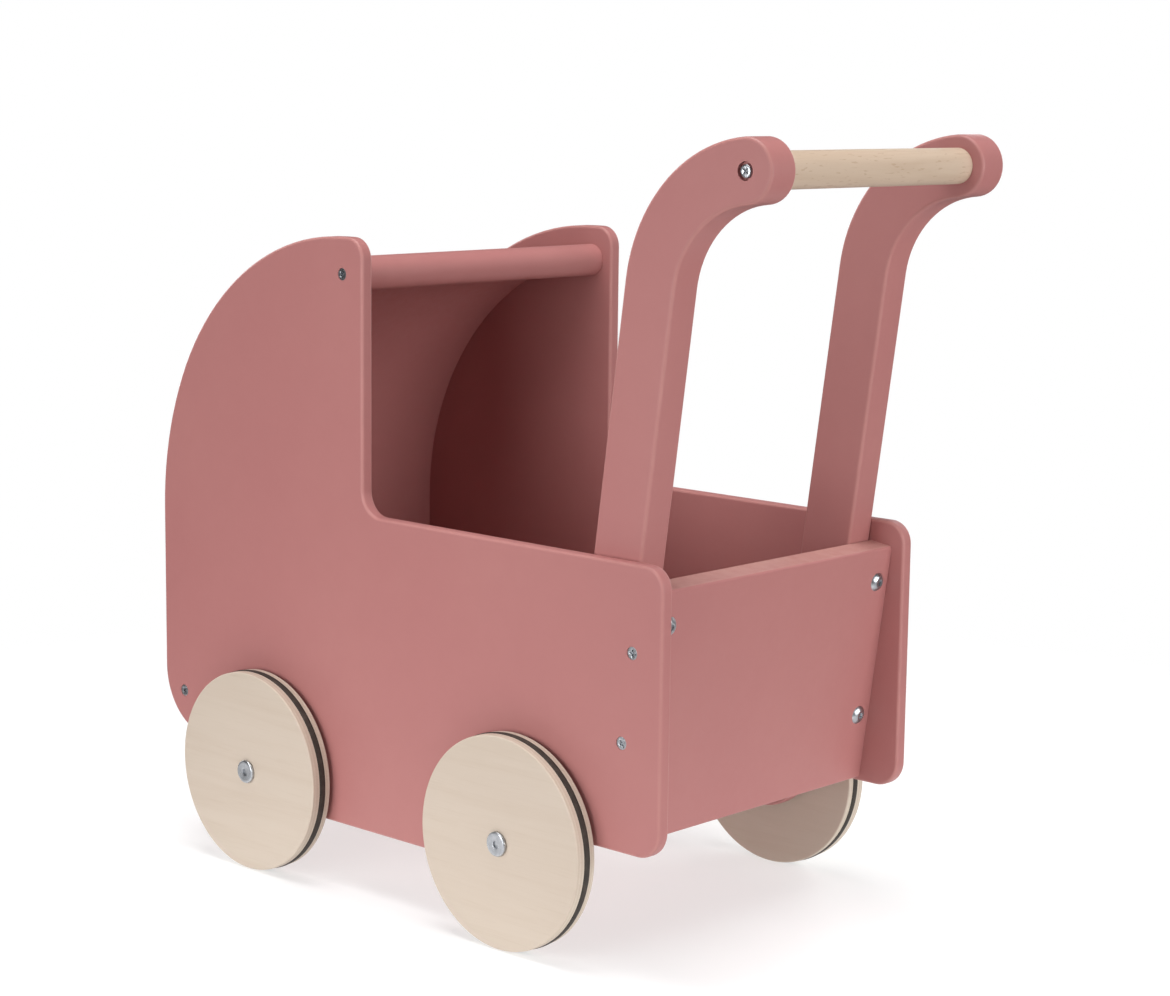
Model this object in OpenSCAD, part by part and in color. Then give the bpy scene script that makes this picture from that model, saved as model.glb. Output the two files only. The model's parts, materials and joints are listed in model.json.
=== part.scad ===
// Wooden doll stroller: two shaped side panels joined by a leaning rear panel, a floor, a bent hood
// sheet and two rails; a dowel handle between two curved arms; four wheels with rubber tyres.
// Millimetres. +X points forwards to the hood, +Y to the left, +Z up. The origin is on the ground
// under the middle of the whole stroller.

/* [Side panels] */
// Length of a side panel
body_len = 461; // [446:0.5:480]
// Clear width between the side panels
inner_w = 224; // [200:1:240]
// Thickness of a side panel
side_t = 9; // [8:0.5:12]
// Height of the tub's rim
tub_h = 250.5; // [240:0.5:260]
// Height of the top of the hood
hood_h = 427.5; // [420:0.5:440]
// From the panels' rear edge to the hood's rear edge
hood_x = 256.5; // [246:0.5:262]
// Radius of the hood's front curve, which starts at the front edge
hood_front_r = 215; // [210:1:220]
// Height at which the front curve starts
hood_front_z = 232.5; // [228:0.5:236]
// Radius of the hood's top curve, which carries on to the top
hood_top_r = 180; // [172:1:184]
// Height of the panels' underside between the axles
low_z = 42.5; // [38:0.5:48]
// Height of the panels' underside at both ends
raised_z = 75.5; // [72:0.5:80]
// Radius of both curves in the underside's step
step_r = 40; // [36:0.5:42]
// Radius of the front bottom corner
front_r = 45; // [35:0.5:45]
// Radius of the rear bottom corner
foot_r = 17; // [10:0.5:20]
// Radius of the two upper corners
corner_r = 14; // [8:0.5:16]
// Radius of the inner corner between tub and hood
inner_r = 16; // [8:0.5:24]

/* [Wheels] */
// Outer diameter over the tyre
wheel_d = 135; // [130:1:140]
// Thickness of a wheel
wheel_t = 15; // [14:0.5:18]
// From the panels' rear edge to the rear axle
axle_x = 114; // [111:0.1:119]
// Distance between the axles
wheelbase = 237; // [225:1:237]
// Gap between a side panel and its wheels
wheel_gap = 3.5; // [3:0.1:6]
// Width of a tyre
tyre_w = 4.8; // [4:0.1:6]
// How far the tyre sits inwards of the wheel's middle
tyre_inset = 0.8; // [0:0.1:1.5]
// Diameter of the sleeve that a wheel turns on
sleeve_d = 9; // [8:0.5:11]

/* [Rear panel] */
// Backward lean of the rear panel and the arms, in degrees
lean = 7.6; // [5:0.1:9]
// Length of the rear panel, up its slope
rear_len = 158; // [150:1:160]
// Thickness of the rear panel
rear_t = 18; // [15:0.5:20]
// From the panels' rear edge to the middle of the rear panel's outer face
rear_x = 19.7; // [18:0.1:23]
// Height of the middle of the rear panel's outer face
rear_z = 156.2; // [154:0.1:160]

/* [Handle] */
// Width of an arm, seen from the side
arm_w = 38; // [32:0.5:40]
// Thickness of an arm
arm_t = 22; // [18:0.5:24]
// Radius of the arm's bend, on its centreline
bend_r = 77; // [70:0.5:84]
// Angle that the arm bends through, in degrees
bend_a = 77.4; // [65:0.1:80]
// From the middle of the rear panel up its slope to the start of the bend
bend_z = 253.5; // [240:0.5:260]
// Diameter of the handle bar
bar_d = 22; // [20:0.5:26]

/* [Hood] */
// Thickness of the hood sheet
sheet_t = 4; // [3:0.5:5]
// Inner radius of the sheet's bend
sheet_r = 188.5; // [187:0.5:190]
// From the panels' rear edge to the sheet's inner face at the front
sheet_x = 438.5; // [438:0.5:439.5]
// Height at which the sheet starts to bend
sheet_z = 219.5; // [218:0.5:221]
// Diameter of the two rails
rail_d = 22; // [20:0.5:24]
// From the panels' rear edge to the middle of the hood rail
rail_x = 275.6; // [273:0.1:277]
// Height of the middle of the hood rail
rail_z = 403.8; // [403:0.1:406]
// Height of the middle of the front rail
front_rail_z = 105; // [104:0.5:108]

/* [Floor] */
// Height of the floor's underside
floor_z = 86; // [80:0.5:87]
// Thickness of the floor
floor_t = 6; // [5:0.5:6]
// Thickness of the tongues along the floor's sides
tongue_t = 4; // [3:0.5:4]

/* [Hidden] */
$fn = 64;
clear = 0.05;                    // radial clearance round screws, bolts and sleeves
cut = 1;                         // how far a cutting shape runs past a face
groove_d = 3;                    // depth of the grooves in the side panels
slot_d = 5;                      // depth of the slots in the rails
floor_gap = 0.3;                 // room in front of the floor and behind it

inner_y = inner_w / 2;           // inner face of a side panel
outer_y = inner_y + side_t;      // outer face of a side panel
arm_y = inner_y - arm_t / 2;     // middle of an arm

// Centres of the hood's two curves, which join in the direction join_a
join_a = asin((hood_h - hood_top_r - hood_front_z) / (hood_front_r - hood_top_r));
front_mid = [body_len - hood_front_r, hood_front_z];
top_mid = front_mid + (hood_front_r - hood_top_r) * [cos(join_a), sin(join_a)];

// Bend of the arm, in the frame of the leaning rear panel
bend_x = rear_t + arm_w / 2 - bend_r;
grip = [bend_x + bend_r * cos(bend_a), bend_z + bend_r * sin(bend_a)];
grip_x = rear_x + grip[0] * cos(lean) - grip[1] * sin(lean);
arm_foot_z = -63;

// The model is centred between the ends of the arms and the front of the panels
x0 = -(body_len + grip_x - arm_w / 2) / 2;

bolt_z = [-33.7, 56.5];          // rear bolts, up the rear panel from its middle
side_screw_z = [-15.2, 40.5];    // side screws, up the rear panel from its middle

axle_z = wheel_d / 2;
tyre_stand = 0.5;                // how far the tyre stands proud of the wood
tyre_depth = 2.5;                // depth of the tyre's groove
tyre_lip = 0.3;                  // how far below the wood the tyre's crown starts
tyre_mid = wheel_gap + wheel_t / 2 - tyre_inset;
end_play = 0.4;                  // room between a wheel and its bolt's head
sleeve_len = wheel_gap + wheel_t + end_play;
spacer_r = 8;
side_play = 0.3;                 // room between a wheel and its spacer

bolt_r = 3;                      // M6 axle and arm bolts
axle_head_r = 7.75;
axle_head_h = 2;
washer_r = 6.5;
washer_t = 1.2;
nut_r = 5.77;
nut_h = 5;
rear_head_r = 6.25;
rear_head_h = 3.3;
insert_r = 4.5;
insert_len = 12;
bolt_tip = 4;                    // how far a bolt runs past its nut or insert
socket_r = 2.3;

screw_r = 2;                     // wood screws
screw_head_r = 4;
screw_head_h = 2.6;
screw_sink = 0.4;                // how deep a flat head sits below the surface
screw_len = 36;
point_h = 4;
tip_r = 0.2;
handle_screw_len = 41;           // below the head
handle_bore_r = 5.5;             // counterbore at the end of an arm
handle_bore_d = 2.8;
pan_h = 2.8;
pan_taper = 0.6;
cross_w = 1;                     // cross recess in the screw heads
cross_len = 4.4;
cross_h = 1.4;

LEFT = 1;
RIGHT = -1;
REAR = axle_x;
FRONT = axle_x + wheelbase;

rose = [0.73, 0.51, 0.49];
beech = [0.79, 0.72, 0.63];
ply = [0.83, 0.79, 0.73];
rubber = [0.17, 0.15, 0.13];
zinc = [0.66, 0.67, 0.68];
brass = [0.72, 0.62, 0.42];

// ---- Placing ----

// Sets a panel outline, drawn in X and Z from the rear edge, between y and y + t
module slab(y, t) {
    translate([x0, y + t, 0]) rotate([90, 0, 0]) linear_extrude(t) children();
}

// Frame of the rear panel: origin at the middle of its outer face, X through it, Z up its slope
module leaning() {
    translate([x0 + rear_x, 0, rear_z]) rotate([0, -lean, 0]) children();
}

// Turns a shape so that its Z axis points outwards from a side of the stroller
module outwards(side) {
    rotate([-90 * side, 0, 0]) children();
}

// Frame of one axle: origin on the side panel's outer face, Z outwards
module at_axle(x, side) {
    translate([x0 + x, side * outer_y, axle_z]) outwards(side) children();
}

// The same thing on both sides
module both_sides() {
    for (side = [LEFT, RIGHT]) {
        translate([0, side * outer_y, 0]) outwards(side) children();
    }
}

module tube(r_out, r_in, z, h) {
    translate([0, 0, z]) difference() {
        cylinder(r = r_out, h = h);
        translate([0, 0, -cut]) cylinder(r = r_in, h = h + 2 * cut);
    }
}

// ---- Outlines in X and Z ----

// What lies between a square corner at the origin, which opens towards +X and +Y, and its rounding.
// It is taken from an outer corner and added to an inner one.
module corner_piece(r) {
    difference() {
        translate([-cut, -cut]) square(r + cut);
        translate([r, r]) circle(r);
    }
}

// Part of a disc between two directions less than 90 degrees apart
module pie(r, a0, a1) {
    middle = (a0 + a1) / 2;
    intersection() {
        circle(r, $fn = 128);
        polygon([[0, 0], for (a = [a0, middle, a1]) 2 * r * [cos(a), sin(a)]]);
    }
}

// Curved step of the underside outside one axle, stepping up in the direction dir
module underside_step(x, dir) {
    rise = raised_z - low_z;
    run = sqrt(rise * (4 * step_r - rise));
    translate([x, low_z]) mirror([dir < 0 ? 1 : 0, 0]) {
        translate([0, step_r]) circle(step_r);
        difference() {
            translate([run / 2, rise / 2]) square([run / 2, rise / 2 + cut]);
            translate([run, rise - step_r]) circle(step_r);
        }
    }
}

module side_outline() {
    difference() {
        union() {
            translate([0, raised_z]) square([top_mid[0], tub_h - raised_z]);
            translate([0, raised_z]) square([body_len, hood_front_z - raised_z]);
            translate([hood_x, raised_z]) square([top_mid[0] - hood_x, hood_h - raised_z]);
            translate(front_mid) pie(hood_front_r, 0, join_a);
            translate(top_mid) pie(hood_top_r, join_a, 90);
            translate([REAR, low_z]) square([wheelbase, raised_z - low_z + cut]);
            underside_step(REAR, -1);
            underside_step(FRONT, 1);
            translate([hood_x, tub_h]) mirror([1, 0]) corner_piece(inner_r);
        }
        translate([0, raised_z]) corner_piece(foot_r);
        translate([0, tub_h]) mirror([0, 1]) corner_piece(corner_r);
        translate([hood_x, hood_h]) mirror([0, 1]) corner_piece(corner_r);
        translate([body_len, raised_z]) mirror([1, 0]) corner_piece(front_r);
    }
}

// The bent hood sheet, from its edge in the hood rail to its edge in the front rail
module sheet_outline(grow) {
    bend_at = sheet_x - sheet_r;
    top_x = rail_x + rail_d / 2 - slot_d;
    bottom_z = front_rail_z + rail_d / 2 - slot_d;
    translate([sheet_x - grow, bottom_z - grow]) square([sheet_t + 2 * grow, sheet_z - bottom_z + grow]);
    intersection() {
        translate([bend_at, sheet_z]) difference() {
            circle(sheet_r + sheet_t + grow, $fn = 128);
            circle(sheet_r - grow, $fn = 128);
        }
        translate([top_x - grow, sheet_z]) square([body_len, sheet_r + sheet_t + cut]);
    }
}

// ---- Fasteners, each along Z with the underside or top of its head at the origin ----

module cross_recess() {
    for (a = [0, 90]) {
        rotate([0, 0, a]) translate([-cross_len / 2, -cross_w / 2, -cross_h]) {
            cube([cross_len, cross_w, cross_h + cut]);
        }
    }
}

// Flat-head wood screw: top of the head at the origin, point along -Z
module flat_screw() {
    color(zinc) translate([0, 0, -screw_sink]) difference() {
        union() {
            translate([0, 0, -screw_head_h]) {
                cylinder(r1 = screw_r, r2 = screw_head_r, h = screw_head_h);
            }
            translate([0, 0, -screw_len + point_h]) {
                cylinder(r = screw_r, h = screw_len - point_h - screw_head_h + clear);
            }
            translate([0, 0, -screw_len]) cylinder(r1 = tip_r, r2 = screw_r, h = point_h);
        }
        cross_recess();
    }
}

// The hole that a flat-head screw fills
module flat_screw_hole() {
    hole_len = screw_len + point_h;
    translate([0, 0, -screw_sink - screw_head_h]) {
        cylinder(r1 = screw_r + clear, r2 = screw_head_r + clear, h = screw_head_h);
    }
    translate([0, 0, -screw_sink]) cylinder(r = screw_head_r + clear, h = screw_sink + cut);
    translate([0, 0, -hole_len]) cylinder(r = screw_r + clear, h = hole_len);
}

// Button-head bolt with a hex socket: underside of the head at the origin, head along +Z
module button_bolt(len) {
    dome_r = (rear_head_r * rear_head_r + rear_head_h * rear_head_h) / (2 * rear_head_h);
    color(zinc) difference() {
        union() {
            intersection() {
                translate([0, 0, rear_head_h - dome_r]) sphere(dome_r);
                cylinder(r = rear_head_r, h = rear_head_h + cut);
            }
            translate([0, 0, -len]) cylinder(r = bolt_r, h = len + clear);
        }
        translate([0, 0, rear_head_h / 2]) cylinder(r = socket_r, h = rear_head_h, $fn = 6);
    }
}

// ---- Body ----

module side_panel(side) {
    mirror([0, side < 0 ? 1 : 0, 0]) color(rose) difference() {
        slab(inner_y, side_t) side_outline();
        slab(inner_y - cut, groove_d + cut) sheet_outline(clear);
        translate([x0 + floor_x(), inner_y - cut, floor_z - clear]) {
            cube([floor_front() - floor_x(), groove_d + cut, tongue_t + 2 * clear]);
        }
        for (x = [REAR, FRONT]) {
            at_axle(x, LEFT) translate([0, 0, -side_t - cut]) {
                cylinder(r = bolt_r + clear, h = side_t + 2 * cut);
            }
        }
        translate([0, outer_y, 0]) {
            at_side_screws() outwards(LEFT) flat_screw_hole();
            at_rail_ends() outwards(LEFT) flat_screw_hole();
        }
    }
}

// Places in X and Z of the screws into the rear panel's ends
module at_side_screws() {
    leaning() for (z = side_screw_z) translate([rear_t / 2, 0, z]) rotate([0, lean, 0]) children();
}

// Places in X and Z of the screws into the rails' ends
module at_rail_ends() {
    at_hood_rail() children();
    at_front_rail() children();
}

module at_hood_rail() {
    translate([x0 + rail_x, 0, rail_z]) children();
}

module at_front_rail() {
    translate([x0 + sheet_x + sheet_t / 2, 0, front_rail_z]) children();
}

module rear_panel() {
    color(rose) difference() {
        leaning() difference() {
            translate([0, -inner_y, -rear_len / 2]) cube([rear_t, inner_w, rear_len]);
            for (y = [-arm_y, arm_y], z = bolt_z) {
                translate([-cut, y, z]) rotate([0, 90, 0]) {
                    cylinder(r = bolt_r + clear, h = rear_t + 2 * cut);
                }
            }
        }
        for (side = [LEFT, RIGHT]) {
            translate([0, side * outer_y, 0]) at_side_screws() outwards(side) flat_screw_hole();
        }
    }
}

// The floor runs from just in front of the rear panel to just behind the sheet's inner face
function floor_x() = rear_x + (rear_z - floor_z) * tan(lean) + rear_t / cos(lean) + floor_gap;
function floor_front() = sheet_x - floor_gap;

module floor_panel() {
    len = floor_front() - floor_x() - 2 * clear;
    w = inner_w - 2 * clear;
    tongue_w = inner_w + 2 * (groove_d - clear);
    color(rose) translate([x0 + floor_x() + clear, 0, floor_z]) {
        translate([0, -w / 2, 0]) cube([len, w, floor_t]);
        translate([0, -tongue_w / 2, 0]) cube([len, tongue_w, tongue_t]);
    }
}

module hood_sheet() {
    w = inner_w + 2 * (groove_d - clear);
    color(rose) slab(-w / 2, w) sheet_outline(0);
}

// A rail between the side panels, slotted for the sheet's edge and drilled at both ends
module rail() {
    color(rose) difference() {
        children();
        slab(-inner_y - cut, inner_w + 2 * cut) sheet_outline(clear);
        for (side = [LEFT, RIGHT]) {
            translate([0, side * outer_y, 0]) at_rail_ends() outwards(side) flat_screw_hole();
        }
    }
}

module rail_bar() {
    translate([0, inner_y, 0]) rotate([90, 0, 0]) cylinder(d = rail_d, h = inner_w);
}

module hood_rail() {
    rail() at_hood_rail() rail_bar();
}

module front_rail() {
    rail() at_front_rail() rail_bar();
}

// ---- Handle ----

module arm_outline() {
    translate([rear_t, arm_foot_z]) square([arm_w, bend_z - arm_foot_z]);
    translate([bend_x, bend_z]) difference() {
        pie(bend_r + arm_w / 2, 0, bend_a);
        circle(bend_r - arm_w / 2, $fn = 128);
    }
    translate(grip) circle(d = arm_w);
}

// Places on the rear panel's outer face of one arm's bolts, Z outwards
module at_rear_bolts(side) {
    leaning() for (z = bolt_z) translate([0, side * arm_y, z]) rotate([0, -90, 0]) children();
}

module arm(side) {
    color(rose) difference() {
        leaning() translate([0, side * arm_y + arm_t / 2, 0]) rotate([90, 0, 0]) {
            linear_extrude(arm_t) arm_outline();
        }
        at_rear_bolts(side) {
            translate([0, 0, -rear_t - insert_len]) {
                cylinder(r = insert_r + clear, h = insert_len + cut);
            }
            translate([0, 0, -rear_t - insert_len - bolt_tip - cut]) {
                cylinder(r = bolt_r + clear, h = insert_len);
            }
        }
        at_grip(side) {
            translate([0, 0, -handle_bore_d]) cylinder(r = handle_bore_r, h = handle_bore_d + cut);
            translate([0, 0, -arm_t - cut]) cylinder(r = screw_r + clear, h = arm_t);
        }
    }
}

// End of the handle bar's axis on one arm's outer face, Z outwards
module at_grip(side) {
    leaning() translate([grip[0], side * inner_y, grip[1]]) outwards(side) children();
}

module handle_bar() {
    bar_len = inner_w - 2 * arm_t;
    color(beech) difference() {
        leaning() translate([grip[0], bar_len / 2, grip[1]]) rotate([90, 0, 0]) {
            cylinder(d = bar_d, h = bar_len);
        }
        for (side = [LEFT, RIGHT]) {
            at_grip(side) translate([0, 0, -handle_bore_d - handle_screw_len - 2 * cut]) {
                cylinder(r = screw_r + clear, h = handle_screw_len);
            }
        }
    }
}

// ---- Wheels ----

module wheel(x, side) {
    wood_r = wheel_d / 2 - tyre_stand;
    color(ply) at_axle(x, side) difference() {
        tube(wood_r, sleeve_d / 2 + clear, wheel_gap, wheel_t);
        tube(wood_r + cut, wood_r - tyre_depth, tyre_mid - tyre_w / 2, tyre_w);
    }
}

// A band with a slightly crowned outside
module tyre(x, side) {
    seat_r = wheel_d / 2 - tyre_stand - tyre_depth;
    crown = tyre_stand + tyre_lip;
    crown_r = (tyre_w * tyre_w / 4 + crown * crown) / (2 * crown);
    color(rubber) at_axle(x, side) translate([0, 0, tyre_mid]) rotate_extrude($fn = 128) {
        intersection() {
            translate([seat_r, -tyre_w / 2]) square([wheel_d / 2 - seat_r, tyre_w]);
            union() {
                translate([wheel_d / 2 - crown_r, 0]) circle(crown_r);
                translate([seat_r, -tyre_w / 2]) square([wheel_d / 2 - crown - seat_r, tyre_w]);
            }
        }
    }
}

module sleeve(x, side) {
    color(zinc) at_axle(x, side) tube(sleeve_d / 2, bolt_r + clear, 0, sleeve_len);
}

module spacer(x, side) {
    color(ply) at_axle(x, side) tube(spacer_r, sleeve_d / 2 + clear, 0, wheel_gap - side_play);
}

module axle_bolt(x, side) {
    shank_len = sleeve_len + side_t + washer_t + nut_h + bolt_tip / 2;
    edge = 0.6;
    color(zinc) at_axle(x, side) translate([0, 0, sleeve_len]) difference() {
        union() {
            cylinder(r = axle_head_r, h = axle_head_h - edge);
            translate([0, 0, axle_head_h - edge]) {
                cylinder(r1 = axle_head_r, r2 = axle_head_r - 2 * edge, h = edge);
            }
            translate([0, 0, -shank_len]) cylinder(r = bolt_r, h = shank_len + clear);
        }
        translate([0, 0, edge]) cylinder(r = socket_r, h = axle_head_h, $fn = 6);
    }
}

module axle_washer(x, side) {
    color(zinc) at_axle(x, side) tube(washer_r, bolt_r + clear, -side_t - washer_t, washer_t);
}

module axle_nut(x, side) {
    color(zinc) at_axle(x, side) translate([0, 0, -side_t - washer_t - nut_h]) difference() {
        cylinder(r = nut_r, h = nut_h, $fn = 6);
        translate([0, 0, -cut]) cylinder(r = bolt_r + clear, h = nut_h + 2 * cut);
    }
}

// ---- Groups of identical fasteners ----

module rear_bolts() {
    for (side = [LEFT, RIGHT]) {
        at_rear_bolts(side) button_bolt(rear_t + insert_len + bolt_tip);
    }
}

module arm_inserts() {
    color(brass) for (side = [LEFT, RIGHT]) {
        at_rear_bolts(side) tube(insert_r, bolt_r + clear, -rear_t - insert_len, insert_len);
    }
}

module side_screws() {
    for (side = [LEFT, RIGHT]) {
        translate([0, side * outer_y, 0]) at_side_screws() outwards(side) flat_screw();
    }
}

module hood_rail_screws() {
    at_hood_rail() both_sides() flat_screw();
}

module front_rail_screws() {
    at_front_rail() both_sides() flat_screw();
}

module handle_screws() {
    color(zinc) for (side = [LEFT, RIGHT]) {
        at_grip(side) translate([0, 0, -handle_bore_d]) difference() {
            union() {
                cylinder(r1 = screw_head_r, r2 = screw_head_r - pan_taper, h = pan_h);
                translate([0, 0, point_h - handle_screw_len]) {
                    cylinder(r = screw_r, h = handle_screw_len - point_h + clear);
                }
                translate([0, 0, -handle_screw_len]) cylinder(r1 = tip_r, r2 = screw_r, h = point_h);
            }
            translate([0, 0, pan_h]) cross_recess();
        }
    }
}

// ---- What is drawn ----

side_panel(LEFT);  // side_panel_left
side_panel(RIGHT);  // side_panel_right
rear_panel();
floor_panel();
hood_sheet();
hood_rail();
front_rail();
arm(LEFT);  // arm_left
arm(RIGHT);  // arm_right
handle_bar();
wheel(REAR, LEFT);  // wheel_rear_left
wheel(REAR, RIGHT);  // wheel_rear_right
wheel(FRONT, LEFT);  // wheel_front_left
wheel(FRONT, RIGHT);  // wheel_front_right
tyre(REAR, LEFT);  // tyre_rear_left
tyre(REAR, RIGHT);  // tyre_rear_right
tyre(FRONT, LEFT);  // tyre_front_left
tyre(FRONT, RIGHT);  // tyre_front_right
sleeve(REAR, LEFT);  // sleeve_rear_left
sleeve(REAR, RIGHT);  // sleeve_rear_right
sleeve(FRONT, LEFT);  // sleeve_front_left
sleeve(FRONT, RIGHT);  // sleeve_front_right
spacer(REAR, LEFT);  // spacer_rear_left
spacer(REAR, RIGHT);  // spacer_rear_right
spacer(FRONT, LEFT);  // spacer_front_left
spacer(FRONT, RIGHT);  // spacer_front_right
axle_bolt(REAR, LEFT);  // axle_bolt_rear_left
axle_bolt(REAR, RIGHT);  // axle_bolt_rear_right
axle_bolt(FRONT, LEFT);  // axle_bolt_front_left
axle_bolt(FRONT, RIGHT);  // axle_bolt_front_right
axle_washer(REAR, LEFT);  // axle_washer_rear_left
axle_washer(REAR, RIGHT);  // axle_washer_rear_right
axle_washer(FRONT, LEFT);  // axle_washer_front_left
axle_washer(FRONT, RIGHT);  // axle_washer_front_right
axle_nut(REAR, LEFT);  // axle_nut_rear_left
axle_nut(REAR, RIGHT);  // axle_nut_rear_right
axle_nut(FRONT, LEFT);  // axle_nut_front_left
axle_nut(FRONT, RIGHT);  // axle_nut_front_right
rear_bolts();
arm_inserts();
side_screws();
hood_rail_screws();
front_rail_screws();
handle_screws();
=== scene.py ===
# The looks of a wooden doll stroller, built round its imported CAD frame.
# Metres, in the frame's own axes: +X forwards to the hood, +Y to the left, +Z up.
import json
import math
import bmesh
import bpy
from mathutils import Matrix, Vector


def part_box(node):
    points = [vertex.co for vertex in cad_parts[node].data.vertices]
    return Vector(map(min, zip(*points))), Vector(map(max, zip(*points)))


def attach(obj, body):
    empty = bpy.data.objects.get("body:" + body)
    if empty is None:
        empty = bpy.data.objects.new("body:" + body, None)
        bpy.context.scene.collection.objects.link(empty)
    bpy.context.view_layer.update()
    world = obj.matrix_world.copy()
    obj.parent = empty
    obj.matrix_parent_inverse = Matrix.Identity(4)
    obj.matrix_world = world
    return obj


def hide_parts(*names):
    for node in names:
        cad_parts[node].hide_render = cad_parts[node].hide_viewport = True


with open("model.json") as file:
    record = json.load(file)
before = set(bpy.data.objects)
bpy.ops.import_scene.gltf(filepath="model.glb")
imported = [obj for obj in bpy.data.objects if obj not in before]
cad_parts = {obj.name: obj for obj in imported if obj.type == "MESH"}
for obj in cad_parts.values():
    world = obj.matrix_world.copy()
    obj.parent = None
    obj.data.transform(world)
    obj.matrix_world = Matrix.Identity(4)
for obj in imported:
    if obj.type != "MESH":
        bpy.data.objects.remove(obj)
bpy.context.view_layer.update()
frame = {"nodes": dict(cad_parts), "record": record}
record = frame["record"]
SLOTS = {part["node"]: part["material_slot"] for part in record["subparts"]}
BODIES = {node: body for body, nodes in record["behaviour"]["bodies"].items() for node in nodes}

MM = 0.001
ENDS = ("rear", "front")
SIDES = ("left", "right")
CORNERS = [f"{end}_{side}" for end in ENDS for side in SIDES]


# ---- Node materials ----

def srgb(red, green, blue):
    """A colour given in the usual 0 to 255 steps, as the linear one that shaders take."""
    def linear(step):
        value = step / 255
        return value / 12.92 if value <= 0.04045 else ((value + 0.055) / 1.055) ** 2.4
    return (linear(red), linear(green), linear(blue), 1.0)


class Nodes:
    """A new material with its Principled shader, and short calls to add nodes before it."""

    def __init__(self, name):
        self.material = bpy.data.materials.new(name)
        self.material.use_nodes = True
        self.tree = self.material.node_tree
        self.shader = self.tree.nodes["Principled BSDF"]
        self.place = self.add("ShaderNodeTexCoord").outputs["Object"]

    def add(self, kind, **settings):
        node = self.tree.nodes.new(kind)
        for key, value in settings.items():
            setattr(node, key, value)
        return node

    def feed(self, node, socket, value):
        """Links an output to a socket, or sets the socket to a plain value."""
        if isinstance(value, bpy.types.NodeSocket):
            self.tree.links.new(value, node.inputs[socket])
        else:
            node.inputs[socket].default_value = value

    def stretched(self, scale, origin=(0, 0, 0)):
        """Object coordinates times a scale on each axis, from an origin."""
        node = self.add("ShaderNodeMapping")
        self.feed(node, "Vector", self.place)
        node.inputs["Scale"].default_value = scale
        node.inputs["Location"].default_value = [-o * s for o, s in zip(origin, scale)]
        return node.outputs["Vector"]

    def noise(self, where, scale, detail=2.0, rough=0.5, distortion=0.0):
        node = self.add("ShaderNodeTexNoise")
        self.feed(node, "Vector", where)
        self.feed(node, "Scale", scale)
        self.feed(node, "Detail", detail)
        self.feed(node, "Roughness", rough)
        self.feed(node, "Distortion", distortion)
        return node.outputs["Fac"]

    def ramp(self, value, low, high, start=0.0, end=1.0):
        """Spreads the range low to high over start to end, and holds it there outside."""
        node = self.add("ShaderNodeMapRange")
        self.feed(node, "Value", value)
        self.feed(node, "From Min", low)
        self.feed(node, "From Max", high)
        self.feed(node, "To Min", start)
        self.feed(node, "To Max", end)
        return node.outputs["Result"]

    def maths(self, operation, *values):
        node = self.add("ShaderNodeMath", operation=operation)
        for socket, value in enumerate(values):
            self.feed(node, socket, value)
        return node.outputs["Value"]

    def mixed(self, amount, first, second, blend="MIX"):
        """One colour over another."""
        node = self.add("ShaderNodeMix", data_type="RGBA", blend_type=blend)
        self.feed(node, 0, amount)
        self.feed(node, 6, first)
        self.feed(node, 7, second)
        return node.outputs[2]

    def bump(self, height, strength, distance, under=None):
        node = self.add("ShaderNodeBump")
        self.feed(node, "Height", height)
        self.feed(node, "Strength", strength)
        self.feed(node, "Distance", distance)
        if under:
            self.feed(node, "Normal", under)
        return node.outputs["Normal"]

    def finish(self, colour, roughness, normal=None, **plain):
        self.feed(self.shader, "Base Color", colour)
        self.feed(self.shader, "Roughness", roughness)
        if normal:
            self.feed(self.shader, "Normal", normal)
        for socket, value in plain.items():
            self.shader.inputs[socket.replace("_", " ")].default_value = value
        return self.material


def painted_wood():
    """Satin rose paint, rolled over sanded board."""
    n = Nodes("rose_paint")
    mottle = n.noise(n.place, 9, 3)
    cloud = n.noise(n.place, 55, 4, 0.6)
    colour = n.mixed(n.ramp(mottle, 0.3, 0.7), srgb(176, 116, 114), srgb(179, 120, 117))
    colour = n.mixed(n.ramp(cloud, 0.35, 0.7, 0, 0.25), colour, srgb(173, 113, 111))
    speck = n.ramp(n.noise(n.place, 900, 1), 0.73, 0.8, 0, 0.25)
    colour = n.mixed(speck, colour, srgb(192, 139, 133))
    # Painted highlight: a paler, patchy pink laid on by each face's stored amount, along rounded edges
    # and on the rear panel's top.
    painted_highlight = n.add("ShaderNodeAttribute", attribute_name="painted_highlight").outputs["Fac"]
    highlight_patches = n.maths("MULTIPLY", painted_highlight, n.ramp(n.noise(n.place, 120, 3), 0.3, 0.65, 0.6, 1))
    colour = n.mixed(highlight_patches, colour, srgb(205, 164, 152))
    peel = n.noise(n.place, 650, 2, 0.5)
    waves = n.noise(n.place, 70, 2, 0.4)
    normal = n.bump(waves, 0.05, 0.4 * MM)
    normal = n.bump(peel, 0.16, 0.06 * MM, normal)
    rough = n.ramp(n.noise(n.place, 160, 4, 0.65), 0.3, 0.7, 0.40, 0.52)
    return n.finish(colour, rough, normal, Specular_IOR_Level=0.3)


def grain(n, along, origin=(0, 0, 0), fine=1.0):
    """Long streaks of wood grain and their finer fibres, along one axis (0, 1 or 2)."""
    def squeeze(across, length):
        scale = [across, across, across]
        scale[along] = length
        return n.stretched(scale, origin)
    wander = n.noise(squeeze(14, 3), 1, 2, 0.5)
    broad = n.noise(squeeze(60, 4), 1, 5, 0.6, 1.2)
    fibre = n.noise(squeeze(900 * fine, 28), 1, 3, 0.6)
    return wander, broad, fibre


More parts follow.
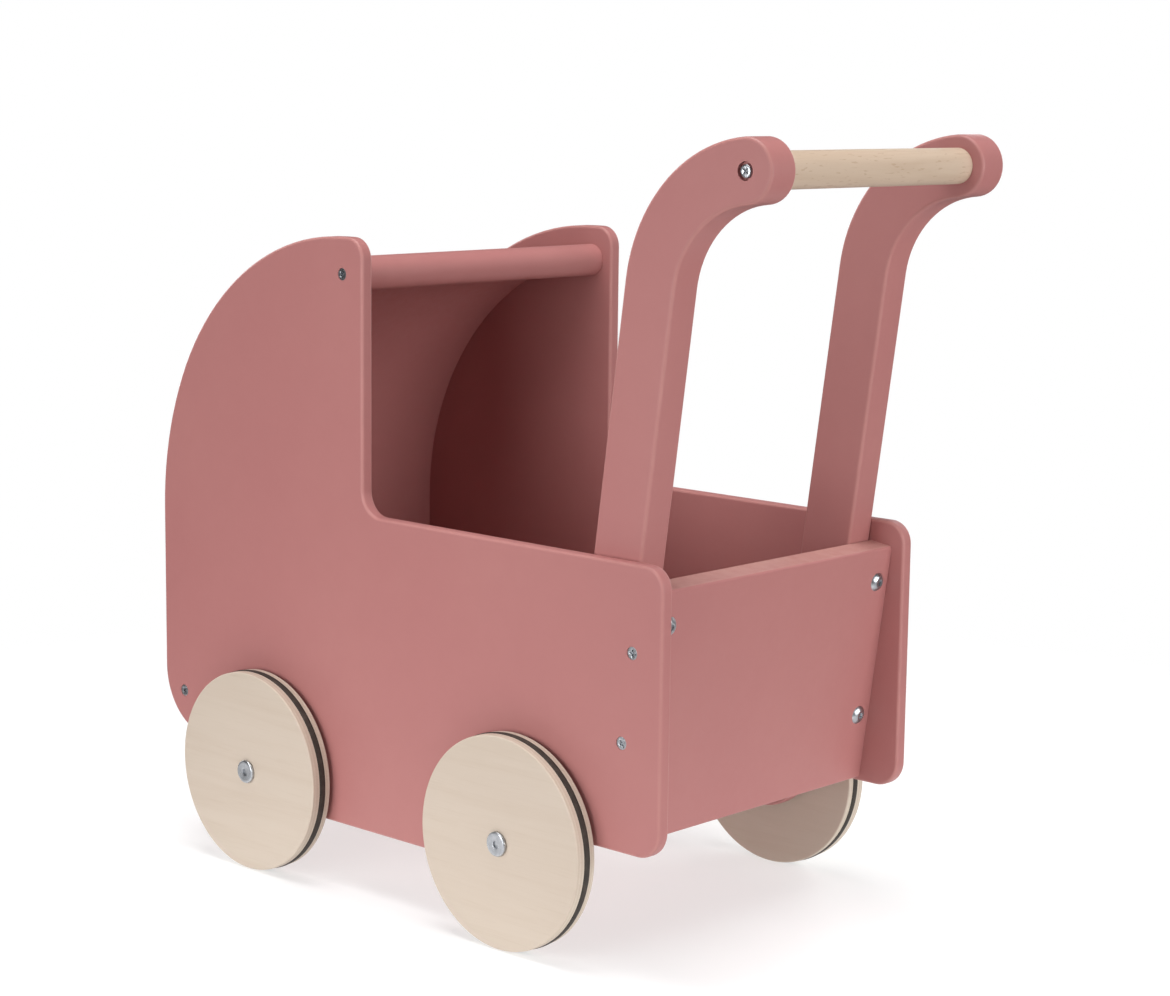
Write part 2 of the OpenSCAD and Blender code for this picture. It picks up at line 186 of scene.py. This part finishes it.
def pale_ply():
    """Lacquered birch plywood: a pale figured face, and thin layers where the edge is cut."""
    n = Nodes("birch_ply")
    wander, broad, fibre = grain(n, 0)
    face = n.mixed(n.ramp(wander, 0.3, 0.7), srgb(201, 187, 172), srgb(197, 182, 167))
    face = n.mixed(n.ramp(broad, 0.42, 0.68, 0, 0.4), face, srgb(191, 174, 157))
    face = n.mixed(n.ramp(fibre, 0.55, 0.75, 0, 0.2), face, srgb(180, 160, 140))
    across = n.add("ShaderNodeSeparateXYZ")
    n.feed(across, "Vector", n.place)
    layer_depth = 1.4 * MM
    layer = n.maths("MULTIPLY", across.outputs["Y"], 1 / layer_depth)
    layer = n.maths("PINGPONG", layer, 1.0)
    layer = n.ramp(layer, 0.42, 0.58)
    end_grain = n.noise(n.stretched((1400, 500, 1400)), 1, 2)
    edge = n.mixed(layer, srgb(205, 192, 177), srgb(197, 182, 165))
    edge = n.mixed(n.ramp(end_grain, 0.45, 0.7, 0, 0.2), edge, srgb(180, 160, 138))
    facing = n.add("ShaderNodeSeparateXYZ")
    n.feed(facing, "Vector", n.add("ShaderNodeNewGeometry").outputs["Normal"])
    flat = n.ramp(n.maths("ABSOLUTE", facing.outputs["Y"]), 0.05, 0.35)
    colour = n.mixed(flat, edge, face)
    normal = n.bump(fibre, 0.12, 0.05 * MM)
    rough = n.ramp(broad, 0.3, 0.7, 0.46, 0.6)
    return n.finish(colour, rough, normal, Specular_IOR_Level=0.38)


def beech_dowel():
    """Clear-lacquered beech: straight grain along the bar and short dark flecks."""
    n = Nodes("beech")
    wander, broad, fibre = grain(n, 1, fine=0.8)
    colour = n.mixed(n.ramp(wander, 0.3, 0.7), srgb(206, 186, 166), srgb(199, 177, 156))
    colour = n.mixed(n.ramp(broad, 0.42, 0.66, 0, 0.5), colour, srgb(188, 163, 140))
    fleck = n.noise(n.stretched((700, 130, 700)), 1, 1, 0.5)
    fleck = n.ramp(fleck, 0.64, 0.70, 0, 0.4)
    colour = n.mixed(fleck, colour, srgb(166, 134, 108))
    colour = n.mixed(n.ramp(fibre, 0.55, 0.75, 0, 0.2), colour, srgb(178, 150, 124))
    normal = n.bump(fibre, 0.14, 0.05 * MM)
    rough = n.ramp(broad, 0.3, 0.7, 0.38, 0.5)
    return n.finish(colour, rough, normal, Specular_IOR_Level=0.4)


def rubber():
    """Matt dark rubber, a little dusty."""
    n = Nodes("black_rubber")
    dust = n.ramp(n.noise(n.place, 180, 5, 0.7), 0.45, 0.75)
    colour = n.mixed(dust, srgb(52, 47, 42), srgb(78, 71, 64))
    normal = n.bump(n.noise(n.place, 1500, 3, 0.6), 0.35, 0.05 * MM)
    return n.finish(colour, n.ramp(dust, 0, 1, 0.6, 0.82), normal, Specular_IOR_Level=0.35)


def spacer_plastic():
    n = Nodes("spacer_plastic")
    cloud = n.noise(n.place, 200, 3)
    colour = n.mixed(n.ramp(cloud, 0.3, 0.7), srgb(214, 208, 198), srgb(202, 195, 184))
    normal = n.bump(n.noise(n.place, 2200, 2), 0.15, 0.03 * MM)
    return n.finish(colour, n.ramp(cloud, 0.3, 0.7, 0.42, 0.55), normal)


def plated(name, light, dark, low, high):
    """Plated metal: soft clouding, fine turning marks and dulled patches."""
    n = Nodes(name)
    cloud = n.noise(n.place, 420, 4, 0.6)
    marks = n.noise(n.stretched((5000, 900, 5000)), 1, 2, 0.6)
    colour = n.mixed(n.ramp(cloud, 0.3, 0.7), light, dark)
    normal = n.bump(marks, 0.12, 0.02 * MM)
    return n.finish(colour, n.ramp(cloud, 0.3, 0.7, low, high), normal, Metallic=1.0)


MATERIALS = {
    "rose_paint": painted_wood(),
    "birch_ply": pale_ply(),
    "beech": beech_dowel(),
    "black_rubber": rubber(),
    "spacer_plastic": spacer_plastic(),
    "zinc": plated("zinc", srgb(196, 199, 203), srgb(168, 171, 176), 0.24, 0.40),
    "brass": plated("brass", srgb(206, 178, 122), srgb(176, 148, 96), 0.28, 0.42),
}


# ---- Meshes ----

SAME_POINT = 0.002 * MM
FLAT_ANGLE = math.radians(0.3)
SHARP_ANGLE = math.radians(50)
IN_PLANE = 0.02 * MM
# How strong the painted highlight is, from 0 to 1: along rounded edges, and on the rear panel's top
EDGE_HIGHLIGHT = 0.16
TOP_HIGHLIGHT = 0.4

def piece(name, bm, node, sharp=35):
    """Makes an object of a finished mesh, which stands for a CAD node and rides on its body."""
    for face in bm.faces:
        face.smooth = True
    mesh = bpy.data.meshes.new(name)
    bm.to_mesh(mesh)
    bm.free()
    mesh.set_sharp_from_angle(angle=math.radians(sharp))
    mesh.materials.append(MATERIALS[SLOTS[node]])
    made = bpy.data.objects.new(name, mesh)
    bpy.context.scene.collection.objects.link(made)
    modifier = made.modifiers.new("even_normals", "WEIGHTED_NORMAL")
    modifier.keep_sharp = True
    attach(made, BODIES[node])
    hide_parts(node)
    return made


def cad_copy(node):
    """A CAD node's mesh, with its doubled points joined and its flat faces whole."""
    bm = bmesh.new()
    bm.from_mesh(frame["nodes"][node].data)
    bmesh.ops.remove_doubles(bm, verts=bm.verts, dist=SAME_POINT)
    bmesh.ops.dissolve_limit(bm, angle_limit=FLAT_ANGLE, verts=bm.verts, edges=bm.edges)
    bm.normal_update()
    return bm


def is_sharp(edge):
    return len(edge.link_faces) == 2 and edge.is_convex and edge.calc_face_angle(0) > SHARP_ANGLE


def outline_of(bm, axis, level):
    """The sharp edges in one plane that join up with the lowest one: a board's outer loop."""
    def in_plane(edge):
        return all(abs(v.co[axis] - level) < IN_PLANE for v in edge.verts)
    edges = [e for e in bm.edges if in_plane(e) and is_sharp(e)]
    start = min(edges, key=lambda e: min(v.co.z for v in e.verts))
    found = {start}
    heads = list(start.verts)
    pool = set(edges) - found
    while heads:
        vert = heads.pop()
        for edge in vert.link_edges:
            if edge in pool:
                pool.discard(edge)
                found.add(edge)
                heads.append(edge.other_vert(vert))
    return found


def mark_painted_highlight(bm, amount):
    """Stores on each face how strong its painted highlight is, from its normal."""
    layer = bm.faces.layers.float.new("painted_highlight")
    for face in bm.faces:
        face[layer] = amount(face.normal)


def rounded(bm, edges, radius):
    bmesh.ops.bevel(bm, geom=list(edges), offset=radius, offset_type="OFFSET", segments=4,
                    profile=0.5, affect="EDGES", clamp_overlap=False, loop_slide=False)
    bmesh.ops.remove_doubles(bm, verts=bm.verts, dist=SAME_POINT)
    bm.normal_update()


def board(node, radius):
    """An upright board, with the outlines of both its faces rounded."""
    bm = cad_copy(node)
    low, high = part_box(node)
    edges = outline_of(bm, 1, low.y) | outline_of(bm, 1, high.y)
    rounded(bm, edges, radius)
    # Painted highlight, strongest midway round each rounded edge, and none on the flat faces or edge
    # walls.
    mark_painted_highlight(bm, lambda normal: EDGE_HIGHLIGHT * math.sin(2 * math.acos(min(1, abs(normal.y)))))
    return piece(node + "_board", bm, node)


def cross_board(node, radius):
    """A board that runs across, with only its long edges rounded."""
    bm = cad_copy(node)
    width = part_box(node)[1].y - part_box(node)[0].y
    edges = [e for e in bm.edges if is_sharp(e) and e.calc_length() > 0.9 * width]
    rounded(bm, edges, radius)
    # Painted highlight on the faces that look upwards, which is the rear panel's top.
    upwards = 0.8
    mark_painted_highlight(bm, lambda normal: TOP_HIGHLIGHT if normal.z > upwards else 0.0)
    return piece(node + "_board", bm, node)


def axis_spot(node):
    """X and Z of the axis, along Y, of a round node."""
    low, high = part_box(node)
    return Vector(((low.x + high.x) / 2, 0, (low.z + high.z) / 2))


def rings_mesh(rings, segments, closed):
    """Skins a stack of rings along Z. A ring is (z, radius), and a radius may depend on the angle."""
    bm = bmesh.new()
    loops = []
    for height, radius in rings:
        loop = []
        for step in range(segments):
            angle = math.tau * step / segments
            reach = radius(angle) if callable(radius) else radius
            loop.append(bm.verts.new((reach * math.cos(angle), reach * math.sin(angle), height)))
        loops.append(loop)
    pairs = list(zip(loops, loops[1:]))
    if closed:
        pairs.append((loops[-1], loops[0]))
    for lower, upper in pairs:
        for step in range(segments):
            after = (step + 1) % segments
            bm.faces.new((lower[step], lower[after], upper[after], upper[step]))
    if not closed:
        bm.faces.new(loops[0][::-1])
        bm.faces.new(loops[-1])
    bmesh.ops.recalc_face_normals(bm, faces=bm.faces)
    return bm


def arc(centre_z, centre_r, radius, start, end, steps=4):
    """Ring stations (z, r) on a round, with angles from +r towards +Z in degrees."""
    stations = []
    for step in range(steps + 1):
        angle = math.radians(start + (end - start) * step / steps)
        stations.append((centre_z + radius * math.sin(angle), centre_r + radius * math.cos(angle)))
    return stations


def hexagon(across):
    """Radius of a hexagon at an angle, from its width across flats."""
    def radius(angle):
        turn = (angle + math.pi / 6) % (math.pi / 3) - math.pi / 6
        return across / 2 / math.cos(turn)
    return radius


def cross(length, width):
    """Radius of a plus-shaped recess at an angle."""
    def radius(angle):
        along = (angle + math.pi / 4) % (math.pi / 2) - math.pi / 4
        side = width / 2 / max(abs(math.sin(along)), 1e-6)
        end = length / 2 / math.cos(along)
        corner = width / 2 * math.sqrt(2)
        return max(min(end, side), corner)
    return radius


def moved(bm, matrix):
    bmesh.ops.transform(bm, matrix=matrix, verts=bm.verts)
    return bm


def joined(meshes):
    """Several meshes as one."""
    whole = bmesh.new()
    for bm in meshes:
        part = bpy.data.meshes.new("part")
        bm.to_mesh(part)
        bm.free()
        whole.from_mesh(part)
        bpy.data.meshes.remove(part)
    return whole


ALONG_Y = Matrix.Rotation(math.radians(-90), 4, "X")


def outwards(spot, side):
    """Turns a mesh's Z axis outwards from the left or right side, with its origin at spot."""
    turn = ALONG_Y if side > 0 else Matrix.Rotation(math.radians(90), 4, "X")
    return Matrix.Translation(spot) @ turn


# ---- Wheels ----

def wheel_frame(corner):
    """Where a wheel's axis crosses the side panel's outer face, and which way is outwards."""
    side = 1 if corner.endswith("left") else -1
    spot = axis_spot(f"wheel_{corner}")
    spot.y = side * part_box("side_panel_left")[1].y
    return spot, side


def inner_radius(node):
    """The smallest distance of a round node's points from its axis."""
    spot = axis_spot(node)
    return min(math.hypot(v.co.x - spot.x, v.co.z - spot.z) for v in frame["nodes"][node].data.vertices)


def span_out(node, spot, side):
    """How far out a node starts and ends from a spot."""
    low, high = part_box(node)
    reach = sorted(side * (y - spot.y) for y in (low.y, high.y))
    return reach[0], reach[1]


def wheel(corner, segments=160):
    """A plywood disc with softened rims, a groove for the tyre and a bore for the sleeve."""
    node, tyre = f"wheel_{corner}", f"tyre_{corner}"
    spot, side = wheel_frame(corner)
    low, high = span_out(node, spot, side)
    groove_low, groove_high = span_out(tyre, spot, side)
    rim = (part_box(node)[1].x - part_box(node)[0].x) / 2
    seat = inner_radius(tyre)
    bore = inner_radius(node)
    soft, lip = 1.0 * MM, 0.35 * MM
    rings = [(low, bore + lip)]
    rings += arc(low + soft, rim - soft, soft, -90, 0)
    rings += arc(groove_low - lip, rim - lip, lip, 0, 90, 2)
    rings += [(groove_low, seat), (groove_high, seat)]
    rings += arc(groove_high + lip, rim - lip, lip, -90, 0, 2)
    rings += arc(high - soft, rim - soft, soft, 0, 90)
    rings += [(high, bore + lip), (high - lip, bore), (low + lip, bore)]
    bm = moved(rings_mesh(rings, segments, closed=True), outwards(spot, side))
    return piece(node + "_disc", bm, node)


def tyre(corner, segments=160):
    """A rubber band with a crowned tread and rounded shoulders."""
    node = f"tyre_{corner}"
    spot, side = wheel_frame(corner)
    low, high = span_out(node, spot, side)
    middle = (low + high) / 2
    tread = (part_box(node)[1].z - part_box(node)[0].z) / 2
    seat = inner_radius(node)
    shoulder = 0.7 * MM
    crown = 0.25 * MM
    rings = [(low, seat)]
    rings += arc(low + shoulder, tread - crown - shoulder, shoulder, -90, -20, 3)
    rings += [(middle, tread)]
    rings += arc(high - shoulder, tread - crown - shoulder, shoulder, 20, 90, 3)
    rings += [(high, seat)]
    bm = moved(rings_mesh(rings, segments, closed=True), outwards(spot, side))
    return piece(node + "_band", bm, node)


def ring_piece(node, corner, edge, segments=72):
    """A sleeve, spacer or washer: a tube with softened rims."""
    spot, side = wheel_frame(corner)
    low, high = span_out(node, spot, side)
    outer = (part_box(node)[1].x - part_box(node)[0].x) / 2
    bore = inner_radius(node)
    rings = [(low, bore + edge)]
    rings += arc(low + edge, outer - edge, edge, -90, 0, 3)
    rings += arc(high - edge, outer - edge, edge, 0, 90, 3)
    rings += [(high, bore + edge), (high - edge, bore), (low + edge, bore)]
    bm = moved(rings_mesh(rings, segments, closed=True), outwards(spot, side))
    return piece(node + "_ring", bm, node)


def thread(start, end, radius, pitch, depth):
    """Ring stations along a threaded shank, from its tip at start to its end."""
    rings = [(start, radius - 1.6 * depth)]
    count = int((end - start) / pitch)
    for turn in range(count):
        base = start + (turn + 0.5) * pitch
        rings += [(base - 0.2 * pitch, radius - depth), (base + 0.2 * pitch, radius)]
    rings += [(end, radius - depth)]
    return rings


BOLT_PITCH = 1.0 * MM
BOLT_THREAD = 0.35 * MM
HEX_KEY = 4 * MM


def axle_bolt(corner, segments=96):
    """A flat round head with a shallow ring and a hex socket, and a shank threaded at its end."""
    node = f"axle_bolt_{corner}"
    spot, side = wheel_frame(corner)
    low, high = span_out(node, spot, side)
    head_low = span_out(f"sleeve_{corner}", spot, side)[1]
    head = (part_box(node)[1].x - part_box(node)[0].x) / 2
    clearance = 0.05 * MM
    shank = inner_radius(f"sleeve_{corner}") - clearance
    under, edge = 0.2 * MM, 1.1 * MM
    ring_outer, ring_inner, drop = 5.4 * MM, 5.1 * MM, 0.15 * MM
    mouth_outer, mouth_inner = 3.1 * MM, 2.75 * MM
    socket, socket_depth = hexagon(HEX_KEY), 1.3 * MM
    thread_end = span_out(f"axle_washer_{corner}", spot, side)[1]
    rings = thread(low, thread_end, shank, BOLT_PITCH, BOLT_THREAD)
    rings += [(thread_end, shank), (head_low, shank)]
    rings += arc(head_low + under, head - under, under, -90, 0, 2)
    rings += arc(high - edge, head - edge, edge, 0, 90, 5)
    rings += [(high, ring_outer), (high - drop, ring_inner), (high - drop, mouth_outer)]
    rings += [(high - 2 * drop, mouth_inner), (high - 2.5 * drop, socket), (high - socket_depth, socket)]
    bm = moved(rings_mesh(rings, segments, closed=False), outwards(spot, side))
    return piece(node + "_turned", bm, node)


def axle_nut(corner, segments=96):
    """A hexagon nut with chamfered corners."""
    node = f"axle_nut_{corner}"
    spot, side = wheel_frame(corner)
    low, high = span_out(node, spot, side)
    box_low, box_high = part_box(node)
    across = min(box_high.x - box_low.x, box_high.z - box_low.z)
    bore, lead = 3.05 * MM, 0.4 * MM
    sides = hexagon(across)
    chamfer = 0.7 * MM

    def capped(limit):
        return lambda angle: min(sides(angle), limit)
    small, large = across / 2 * 0.98, across / 2 * 1.12
    rings = [(low, bore + lead), (low, capped(small)), (low + chamfer, capped(large))]
    rings += [(high - chamfer, capped(large)), (high, capped(small))]
    rings += [(high, bore + lead), (high - lead, bore), (low + lead, bore)]
    corner_forwards = box_high.x - box_low.x > box_high.z - box_low.z
    turn = Matrix.Rotation(math.radians(30 if corner_forwards else 0), 4, "Z")
    bm = moved(rings_mesh(rings, segments, closed=True), outwards(spot, side) @ turn)
    return piece(node + "_hex", bm, node, sharp=25)


# ---- Groups of fasteners ----

def solids_of(node):
    """The points of each separate solid of a node."""
    bm = cad_copy(node)
    left = set(bm.verts)
    groups = []
    while left:
        heads = [left.pop()]
        group = []
        while heads:
            vert = heads.pop()
            group.append(vert.co.copy())
            for edge in vert.link_edges:
                other = edge.other_vert(vert)
                if other in left:
                    left.discard(other)
                    heads.append(other)
        groups.append(group)
    bm.free()
    return sorted(groups, key=lambda g: (round(g[0].y, 3), round(g[0].z, 3)))


def head_frame(points, axis):
    """A fastener's frame along a known axis, with its origin on its head's end and Z outwards.

    Its length and the radius of its head come with it.
    """
    centre = sum(points, Vector()) / len(points)
    axis = axis.normalized()
    heights = [(p - centre).dot(axis) for p in points]
    reach = [((p - centre) - axis * h).length for p, h in zip(points, heights)]
    widest = heights[reach.index(max(reach))]
    if widest < 0:
        axis = -axis
        heights = [-h for h in heights]
    top = centre + axis * max(heights)
    side = axis.orthogonal() if abs(axis.y) < 0.9 else Vector((1, 0, 0))
    turn = Matrix((side.normalized(), axis.cross(side).normalized(), axis)).transposed()
    return Matrix.Translation(top) @ turn.to_4x4(), max(heights) - min(heights), max(reach)


def screw_shape(head_r, head_h, length, domed):
    """A cross-head wood screw, its head's top at the origin."""
    shank = 2.0 * MM
    tip_length, tip_r = 4.0 * MM, 0.15 * MM
    core_share, crest_share = 0.72, 1.35
    recess, recess_floor = cross(4.4 * MM, 1.0 * MM), cross(3.2 * MM, 0.8 * MM)
    recess_rim, recess_depth = 2.45 * MM, 1.3 * MM
    rings = [(-length, tip_r)]
    thread_top = -length * 0.35
    pitch = 1.8 * MM
    start = -length + 0.5 * MM
    for turn in range(int((thread_top - start) / pitch)):
        base = start + turn * pitch
        core = shank * min(1.0, (base + length) / tip_length) * core_share
        crest = min(shank, core * crest_share)
        rings += [(base, core), (base + 0.75 * pitch, core), (base + 0.88 * pitch, crest)]
    rings += [(thread_top, shank * 0.85)]
    if domed:
        under, dome = 0.2 * MM, 1.1 * MM
        rings += [(-head_h, shank), (-head_h, head_r - under), (-head_h + under, head_r)]
        rings += arc(-dome, head_r - dome, dome, 0, 70, 5)
        rings += [(-0.04 * MM, head_r - 1.6 * MM)]
    else:
        rings += [(-head_h, shank), (-0.35 * MM, head_r - 0.05 * MM), (-0.15 * MM, head_r)]
        rings += [(-0.03 * MM, head_r - 0.12 * MM), (0, head_r - 0.35 * MM)]
    rings += [(0, recess_rim), (-0.12 * MM, recess), (-recess_depth, recess_floor)]
    return rings_mesh(rings, 96, closed=False)


def button_shape(head_r, head_h, length):
    """A button-head bolt with a hex socket, its head's top at the origin."""
    dome = (head_r ** 2 + head_h ** 2) / (2 * head_h)
    shank = 3.0 * MM
    thread_end = -length + 18 * MM
    mouth_outer, mouth_inner = 2.9 * MM, 2.7 * MM
    socket, socket_depth = hexagon(HEX_KEY), 1.9 * MM
    steps = 9
    rings = thread(-length, thread_end, shank, BOLT_PITCH, BOLT_THREAD)
    rings += [(thread_end, shank), (-head_h, shank), (-head_h, head_r - 0.15 * MM)]
    for step in range(steps):
        reach = head_r * (1 - step / steps) + mouth_outer * step / steps
        rings.append((math.sqrt(dome ** 2 - reach ** 2) - dome + 0.05 * MM * (step == 0), reach))
    rings += [(rings[-1][0] + 0.02 * MM, mouth_inner), (rings[-1][0] - 0.15 * MM, socket)]
    rings += [(-socket_depth, socket)]
    return rings_mesh(rings, 96, closed=False)


def fasteners(node, axis, shape):
    """Every solid of a group of fasteners, each turned on its axis by its own angle."""
    first_turn, turn_step = 14, 37
    meshes = []
    for index, points in enumerate(solids_of(node)):
        place, length, reach = head_frame(points, axis)
        turn = Matrix.Rotation(math.radians(turn_step * index + first_turn), 4, "Z")
        meshes.append(moved(shape(reach, length), place @ turn))
    return piece(node + "_set", joined(meshes), node)


# ---- The pieces ----

for side in SIDES:
    board(f"side_panel_{side}", 2.0 * MM)
    board(f"arm_{side}", 2.1 * MM)
cross_board("rear_panel", 1.6 * MM)

for node in ("hood_sheet", "hood_rail", "front_rail", "floor_panel", "handle_bar", "arm_inserts"):
    piece(node + "_fine", cad_copy(node), node)

for corner in CORNERS:
    wheel(corner)
    tyre(corner)
    ring_piece(f"sleeve_{corner}", corner, 0.3 * MM)
    ring_piece(f"spacer_{corner}", corner, 0.4 * MM)
    ring_piece(f"axle_washer_{corner}", corner, 0.25 * MM)
    axle_bolt(corner)
    axle_nut(corner)

ACROSS = Vector((0, 1, 0))
# Backward lean of the rear panel, which its bolts are square to
LEAN = math.radians(7.6)
for node in ("side_screws", "hood_rail_screws", "front_rail_screws"):
    fasteners(node, ACROSS, lambda reach, length: screw_shape(reach, 2.6 * MM, length, False))
fasteners("handle_screws", ACROSS, lambda reach, length: screw_shape(reach, 2.8 * MM, length, True))
fasteners("rear_bolts", Vector((math.cos(LEAN), 0, math.sin(LEAN))),
          lambda reach, length: button_shape(reach, 3.3 * MM, length))


# ---- Stage, lights and camera ----

def staged(name, bm, material):
    mesh = bpy.data.meshes.new(name)
    for face in bm.faces:
        face.smooth = True
    bm.to_mesh(mesh)
    bm.free()
    mesh.materials.append(material)
    made = bpy.data.objects.new(name, mesh)
    bpy.context.scene.collection.objects.link(made)
    return made


def floor_material(radius):
    """A pale floor that lifts its own shadows a little and fades out into the white backdrop."""
    n = Nodes("floor")
    distance = n.add("ShaderNodeVectorMath", operation="LENGTH")
    n.feed(distance, 0, n.place)
    fade = n.ramp(distance.outputs["Value"], 0.25 * radius, 0.75 * radius, 1.0, 0.0)
    fade = n.maths("SMOOTH_MIN", fade, 1.0, 0.2)
    tone = n.ramp(n.noise(n.place, 30, 2), 0.3, 0.7)
    n.feed(n.shader, "Alpha", fade)
    n.shader.inputs["Emission Color"].default_value = (1, 1, 1, 1)
    n.shader.inputs["Emission Strength"].default_value = 0.55
    return n.finish(n.mixed(tone, srgb(186, 186, 186), srgb(183, 183, 183)), 0.8)


def backdrop_material():
    n = Nodes("backdrop")
    glow = n.add("ShaderNodeEmission")
    glow.inputs["Color"].default_value = (1, 1, 1, 1)
    glow.inputs["Strength"].default_value = 1.0
    n.tree.links.new(glow.outputs["Emission"], n.tree.nodes["Material Output"].inputs["Surface"])
    return n.material


FLOOR_R = 1.15
DOME_R = 9
disc = bmesh.new()
bmesh.ops.create_circle(disc, cap_ends=True, segments=128, radius=FLOOR_R)
staged("floor", disc, floor_material(FLOOR_R))
dome = bmesh.new()
bmesh.ops.create_uvsphere(dome, u_segments=64, v_segments=32, radius=DOME_R)
backdrop = staged("backdrop", dome, backdrop_material())
backdrop.visible_diffuse = False
backdrop.visible_glossy = False
backdrop.visible_transmission = False
backdrop.visible_shadow = False

world = bpy.data.worlds.new("studio")
bpy.context.scene.world = world
world.use_nodes = True
world.node_tree.nodes["Background"].inputs["Color"].default_value = (1, 1, 1, 1)
world.node_tree.nodes["Background"].inputs["Strength"].default_value = 0.03

# name, place, what it points at, width and height, watts
SOFTBOXES = [
    ("left", (0.00, 1.15, 0.35), (0.0, 0.0, 0.20), (0.9, 0.6), 9.2),
    ("rear_low", (-1.35, -0.10, 0.25), (-0.1, 0.0, 0.20), (0.8, 0.5), 2.0),
    ("rear_middle", (-1.30, 0.10, 0.42), (-0.1, 0.0, 0.20), (0.6, 0.5), 3.9),
    ("rear_high", (-1.30, -0.30, 0.60), (-0.1, 0.0, 0.20), (0.8, 0.6), 5.6),
    ("above_rear", (-0.45, 0.35, 1.60), (0.0, 0.0, 0.10), (0.8, 0.8), 6.0),
    ("above", (0.15, 0.15, 1.65), (0.0, 0.0, 0.10), (0.8, 0.8), 14.5),
    ("right", (0.10, -1.35, 0.55), (0.0, 0.0, 0.20), (0.9, 0.8), 10),
    ("front", (1.45, -0.10, 0.50), (0.0, 0.0, 0.20), (0.9, 0.8), 9),
]
for name, place, target, size, power in SOFTBOXES:
    light = bpy.data.lights.new(name, "AREA")
    light.shape = "RECTANGLE"
    light.size, light.size_y = size
    light.energy = power
    softbox = bpy.data.objects.new(name, light)
    softbox.location = place
    aim = Vector(target) - Vector(place)
    softbox.rotation_euler = aim.to_track_quat("-Z", "Y").to_euler()
    bpy.context.scene.collection.objects.link(softbox)

camera = bpy.data.objects.new("camera", bpy.data.cameras.new("camera"))
bpy.context.scene.collection.objects.link(camera)
bpy.context.scene.camera = camera
CAMERA_PLACE = Vector((-1.16713, 1.23085, 0.52504))
YAW, PITCH, ROLL = (math.radians(a) for a in (-47.0906, -9.0081, 0.7193))
ahead = Vector((math.cos(PITCH) * math.cos(YAW), math.cos(PITCH) * math.sin(YAW), math.sin(PITCH)))
right = ahead.cross(Vector((0, 0, 1))).normalized()
up = right.cross(ahead)
right_rolled = math.cos(ROLL) * right + math.sin(ROLL) * up
up_rolled = math.cos(ROLL) * up - math.sin(ROLL) * right
camera.matrix_world = (Matrix.Translation(CAMERA_PLACE)
                       @ Matrix((right_rolled, up_rolled, -ahead)).transposed().to_4x4())
camera.data.sensor_width = 36
camera.data.lens = 80.31
camera.data.clip_end = 50

view_settings = bpy.context.scene.view_settings
view_settings.view_transform = "Standard"
view_settings.look = "None"
